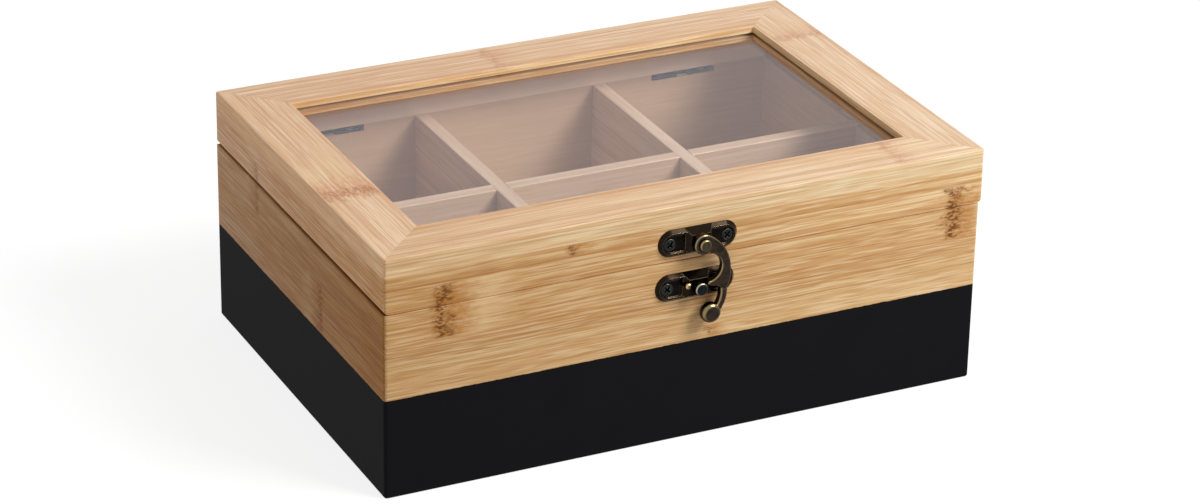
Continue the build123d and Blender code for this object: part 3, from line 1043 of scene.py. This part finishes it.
@dataclass
class Box:
    """The lower box: four mitred walls, the base and the dividers."""

    front_knots: tuple[Knot, ...] = (
        Knot(-93.5, 18.0, 57.0, 78.0),
        Knot(-45.0, 11.0, 78.0, 82.9, 0.85),
        Knot(104.0, 17.0, 57.0, 78.0),
        Knot(8.0, 8.0, 37.0, 42.5, 0.6),
    )
    left_knots: tuple[Knot, ...] = (
        Knot(-22.0, 12.0, 36.0, 57.0, 0.6),
        Knot(38.0, 10.0, 57.0, 78.0, 0.4),
    )
    right_knots: tuple[Knot, ...] = (
        Knot(12.0, 9.0, 57.0, 78.0, 0.6),
        Knot(-52.0, 8.0, 37.0, 57.0, 0.5),
    )
    back_knots: tuple[Knot, ...] = (
        Knot(62.0, 10.0, 57.0, 78.0, 0.7),
        Knot(-30.0, 9.0, 37.0, 57.0, 0.6),
    )
    # The inner faces' colours: partly the wood's paler inside, partly painted light, brightest on
    # the lid's skirts, where it stands in for the lamp's light through the glass.
    wall_inner: str = "#D8BB97"
    skirt_inner: str = "#FFEBD0"
    inner_pale_and_lit_share: float = 0.75
    # How strongly shade is painted into the joint of lid and box: on the other sides, and on the
    # front.
    joint_share: float = 0.45
    front_joint_share: float = 0.1
    wall_gloss: float = 0.06
    wall_tones: dict[str, Tone] = field(
        default_factory=lambda: {
            "front": Tone((0.93, 0.91, 0.91), (1.07, 1.1, 1.18)),
            "left": Tone((0.59, 0.35, 0.05), (1.19, 1.16, 1.37)),
        }
    )
    skirt_tones: dict[str, Tone] = field(
        default_factory=lambda: {
            "front": Tone((0.88, 0.83, 0.77), (1.18, 1.26, 1.4)),
            "left": Tone((1.18, 1.0, 0.82), (1.62, 1.63, 2.25)),
        }
    )
    dividers: dict[str, Grain] = field(
        default_factory=lambda: {
            "long_divider": Grain.WALL_ALONG_X,
            "cross_divider_left": Grain.WALL_ALONG_Y,
            "cross_divider_right": Grain.WALL_ALONG_Y,
        }
    )

    def boards(self, side: str, skirt: bool = False) -> Bamboo:
        """The finish of the boards on one side, whose grain runs on from wall to lid.

        Args:
            side: front, back, left or right.
            skirt: the lid's board and not the box's wall.

        Returns:
            The bamboo finish.
        """
        knots = {
            "front": self.front_knots,
            "back": self.back_knots,
            "left": self.left_knots,
            "right": self.right_knots,
        }
        grain = Grain.WALL_ALONG_X if side in ("front", "back") else Grain.WALL_ALONG_Y
        seed = {"front": 1.0, "back": 2.0, "left": 3.0, "right": 4.0}[side]
        tone = (self.skirt_tones if skirt else self.wall_tones).get(side, Tone())
        name = f"bamboo_{side}_{'skirt' if skirt else 'wall'}"
        inner = self.skirt_inner if skirt else self.wall_inner
        return Bamboo(
            name,
            grain,
            seed,
            knots[side],
            tone=tone,
            inner=inner,
            inner_share=self.inner_pale_and_lit_share,
            gap=Gap.JOINT,
            gap_share=self.front_joint_share if side == "front" else self.joint_share,
            gloss=self.wall_gloss,
            painted=not skirt,
        )

    def build(self) -> None:
        """Dresses the walls, the base and the dividers."""
        for side in ("front", "back", "left", "right"):
            dress(f"{side}_wall", self.boards(side).material())
        inner = {"base": "#E0C3A0", "strip_tint": "#D5B792", "fibres": INNER_FIBRES}
        dress("base_panel", Bamboo("bamboo_base", Grain.FLAT_ALONG_X, 5.0, **inner).material())
        for seed, (node, grain) in enumerate(self.dividers.items()):
            dress(node, Bamboo(f"bamboo_{node}", grain, 6.0 + seed, **inner).material())


@dataclass
class Lid:
    """The lid: mitred skirt and window frame round the glass."""

    # The frame's colours, paler and pinker than the sides: the bamboo with a painted sheen.
    base: str = "#DAB087"
    strip_tint: str = "#CD9F75"
    knot_tan: str = "#C0764A"
    knot_brown: str = "#9A5C34"
    # Each board of the frame is one strip: no glue line falls within these 400 mm.
    strip_start: float = -200.0
    strip_width: float = 400.0
    # Each side's ratios at its near and far ends, then on its upright outer faces and round the
    # window; the last two are painted light and shade.
    tones: dict[str, Tone] = field(
        default_factory=lambda: {
            "front": Tone(
                (0.93, 0.91, 0.86), (1.06, 1.18, 1.26), (0.98, 1.03, 0.92), (1.3, 1.35, 1.25)
            ),
            "back": Tone(
                (1.01, 1.01, 1.04), (1.05, 1.12, 1.2), (1.0, 1.1, 1.0), (1.32, 1.4, 1.25)
            ),
            "left": Tone(
                (1.0, 1.02, 1.03), (1.0, 0.99, 0.97), (1.28, 1.14, 0.92), (1.3, 1.35, 1.25)
            ),
            "right": Tone(
                (0.95, 1.0, 1.04), (1.02, 1.07, 1.14), (1.0, 1.1, 1.0), (1.4, 1.42, 1.2)
            ),
        }
    )
    frame_knots: dict[str, tuple[Knot, ...]] = field(
        default_factory=lambda: {
            "front": (Knot(84.0, 12.0, -79.0, -57.0, 0.35),),
            "back": (Knot(-10.0, 12.0, 57.0, 79.0, 0.3),),
            "left": (Knot(-24.0, 20.0, -115.0, -94.0, 0.8),),
            "right": (Knot(42.0, 12.0, 95.0, 116.0, 0.4),),
        }
    )

    def build(self, box: Box) -> None:
        """Dresses the lid's boards and its glass.

        Args:
            box: the box whose boards run on into the skirt.
        """
        for seed, (side, knots) in enumerate(self.frame_knots.items()):
            dress(f"lid_{side}_skirt", box.boards(side, skirt=True).material())
            grain = Grain.FLAT_ALONG_X if side in ("front", "back") else Grain.FLAT_ALONG_Y
            top = Bamboo(
                f"bamboo_{side}_frame",
                grain,
                10.0 + seed,
                knots,
                base=self.base,
                strip_tint=self.strip_tint,
                tone=self.tones[side],
                fibres=TOP_FIBRES,
                gap=Gap.NONE if side == "right" else Gap.GROOVE,
                strip_start=self.strip_start,
                strip_width=self.strip_width,
                knot_tan=self.knot_tan,
                knot_brown=self.knot_brown,
            )
            dress(f"lid_{side}_frame", top.material())
        dress("glass_pane", WindowGlass().material())


@dataclass
class Hinges:
    """Two butt hinges of zinc-plated steel with their pins and screws."""

    # The bright edges of the hinges are partly wear and partly a painted highlight.
    finish: WornMetal = WornMetal(
        "zinc_plated_steel", "#1F2023", "#2E2F32", "#96969A", "#101012", roughness=0.34, wear_and_highlight=0.15
    )
    screw_finish: WornMetal = WornMetal(
        "bright_steel_screw", "#C4C5C7", "#D2D3D4", "#F0F0EE", "#8A8B8D", roughness=0.3
    )

    def build(self) -> None:
        """Dresses both hinges."""
        metal = self.finish.material()
        for side in ("left", "right"):
            for part in ("box_leaf", "lid_leaf", "pin"):
                dress(f"hinge_{side}_{part}", metal)
        screws = self.screw_finish.material()
        for leaf in ("box", "lid"):
            dress(f"{leaf}_hinge_screws", screws)


@dataclass
class Latch:
    """The hook latch: two pressed plates, the hook, its rivet, the stud, the peg and screws."""

    # In these finishes the bright edges are partly wear and partly a painted highlight, and the
    # slope colours are painted highlights.
    lacquer: WornMetal = WornMetal(
        "blackened_bronze_sheet",
        "#0E0B0A",
        "#1C1714",
        "#C8B68E",
        "#050404",
        roughness=0.22,
        edge=0.18,
        wear_and_highlight=0.5,
        slope="#2C2218",
    )
    bronze: WornMetal = WornMetal(
        "antique_cast_bronze",
        "#261E19",
        "#3C3229",
        "#B8A67E",
        "#0C0908",
        roughness=0.25,
        wear_and_highlight=0.8,
        slope="#94845F",
    )
    rivet: WornMetal = WornMetal(
        "rubbed_and_highlit_bronze_rivet",
        "#2E281C",
        "#4E4530",
        "#9A8A66",
        "#120E09",
        roughness=0.25,
        wear_and_highlight=0.8,
        slope="#9A8A66",
    )
    gunmetal: WornMetal = WornMetal(
        "gunmetal_stud",
        "#121415",
        "#1F2223",
        "#B4AC98",
        "#080808",
        roughness=0.25,
        wear_and_highlight=0.9,
        slope="#B4AC98",
    )
    brass: WornMetal = WornMetal(
        "bare_brass_pin",
        "#5E4829",
        "#7C6138",
        "#D0B888",
        "#221A10",
        roughness=0.25,
        slope="#D0B888",
    )
    steel: WornMetal = WornMetal(
        "blued_steel_screw", "#1A1B1C", "#303131", "#6A6A68", "#040404", roughness=0.3, wear_and_highlight=0.7
    )

    def build(self) -> None:
        """Dresses the latch."""
        finishes = {
            self.lacquer: ("catch_plate", "latch_plate"),
            self.bronze: ("latch_hook",),
            self.rivet: ("pivot_rivet",),
            self.gunmetal: ("catch_stud",),
            self.brass: ("catch_peg",),
            self.steel: ("catch_plate_screws", "latch_plate_screws"),
        }
        for finish, nodes in finishes.items():
            metal = finish.material()
            for node in nodes:
                dress(node, metal)


@dataclass
class Studio:
    """The floor, the lights and the camera."""

    eye: tuple[float, float, float] = (-0.56475, -1.15677, 0.64207)
    azimuth: float = -26.163
    elevation: float = 25.152
    roll: float = 1.089
    focal_pixels: float = 3901.07
    frame_width: int = 1200
    sensor: float = 36.0
    fill_level: float = 0.4
    floor_glow: float = 0.75
    floor_half: float = 6.0
    floor_height: float = -0.0001
    floor_grey: str = "#CBCBCB"
    white: str = "#FFFFFF"
    glow_strength: float = 1.1
    aim_height: float = 0.04
    key_place: tuple[float, float, float] = (0.65, -0.75, 1.02)
    key_size: float = 0.6
    key_watts: float = 18.5

    def camera(self) -> None:
        """Stands the camera where the photograph was taken from."""
        turn, lift, roll = (math.radians(v) for v in (self.azimuth, self.elevation, self.roll))
        back = Vector(
            (math.sin(turn) * math.cos(lift), -math.cos(turn) * math.cos(lift), math.sin(lift))
        )
        right = Vector((0, 0, 1)).cross(back).normalized()
        up = back.cross(right)
        level = Matrix((right, up, back)).transposed().to_4x4()
        data = bpy.data.cameras.new("camera")
        data.sensor_fit = "HORIZONTAL"
        data.sensor_width = self.sensor
        data.lens = self.focal_pixels / self.frame_width * self.sensor
        data.clip_start, data.clip_end = 0.05, 50.0
        camera = bpy.data.objects.new("camera", data)
        camera.matrix_world = (
            Matrix.Translation(self.eye) @ level @ Matrix.Rotation(roll, 4, "Z")
        )
        bpy.context.scene.collection.objects.link(camera)
        bpy.context.scene.camera = camera

    def world(self) -> None:
        """Sets the even light round the object, and the white that is seen behind it."""
        world = bpy.data.worlds.new("studio")
        bpy.context.scene.world = world
        world.use_nodes = True
        tree = world.node_tree
        tree.nodes.clear()
        seen = seen_ray(tree)
        strength = add_node(
            tree, "ShaderNodeMapRange", {"Value": seen, 3: self.fill_level, 4: 1.0}
        ).outputs[0]
        light = add_node(
            tree, "ShaderNodeBackground", {"Color": srgb(self.white), "Strength": strength}
        )
        out = add_node(tree, "ShaderNodeOutputWorld")
        tree.links.new(light.outputs[0], out.inputs[0])

    def floor(self) -> None:
        """Lays a plain white floor that keeps the object's shadow."""
        mesh = bpy.data.meshes.new("floor")
        half, height = self.floor_half, self.floor_height
        corners = ((-half, -half), (half, -half), (half, half), (-half, half))
        mesh.from_pydata([(x, y, height) for x, y in corners], [], [(0, 1, 2, 3)])
        floor = bpy.data.objects.new("floor", mesh)
        bpy.context.scene.collection.objects.link(floor)
        made, tree, output = new_material("white_paper")
        seen = seen_ray(tree)
        colour = add_node(
            tree,
            "ShaderNodeMix",
            {0: seen, 6: srgb(self.floor_grey), 7: srgb(self.white)},
            data_type="RGBA",
        ).outputs[2]
        paper = add_node(tree, "ShaderNodeBsdfDiffuse", {"Color": colour})
        glow = add_node(
            tree,
            "ShaderNodeEmission",
            {"Color": srgb(self.white), "Strength": self.glow_strength},
        )
        share = add_node(
            tree, "ShaderNodeMath", {0: seen, 1: self.floor_glow}, operation="MULTIPLY"
        ).outputs[0]
        both = add_node(
            tree, "ShaderNodeMixShader", {0: share, 1: paper.outputs[0], 2: glow.outputs[0]}
        )
        tree.links.new(both.outputs[0], output.inputs[0])
        mesh.materials.append(made)

    def lights(self) -> None:
        """Hangs one large soft lamp in front, above and to the right."""
        data = bpy.data.lights.new("key", "AREA")
        data.shape = "SQUARE"
        data.size = self.key_size
        data.energy = self.key_watts
        lamp = bpy.data.objects.new("key", data)
        place = Vector(self.key_place)
        aim = (place - Vector((0, 0, self.aim_height))).to_track_quat("Z", "Y")
        lamp.matrix_world = Matrix.Translation(place) @ aim.to_matrix().to_4x4()
        bpy.context.scene.collection.objects.link(lamp)

    def build(self) -> None:
        """Sets up the studio."""
        bpy.context.scene.view_settings.view_transform = "Standard"
        self.camera()
        self.world()
        self.floor()
        self.lights()


def main() -> None:
    """Builds the classes in order."""
    logging.basicConfig(level=logging.INFO, format="%(name)s %(message)s")
    Studio().build()
    box = Box()
    box.build()
    Lid().build(box)
    Hinges().build()
    Latch().build()


if __name__ == "__main__":
    main()
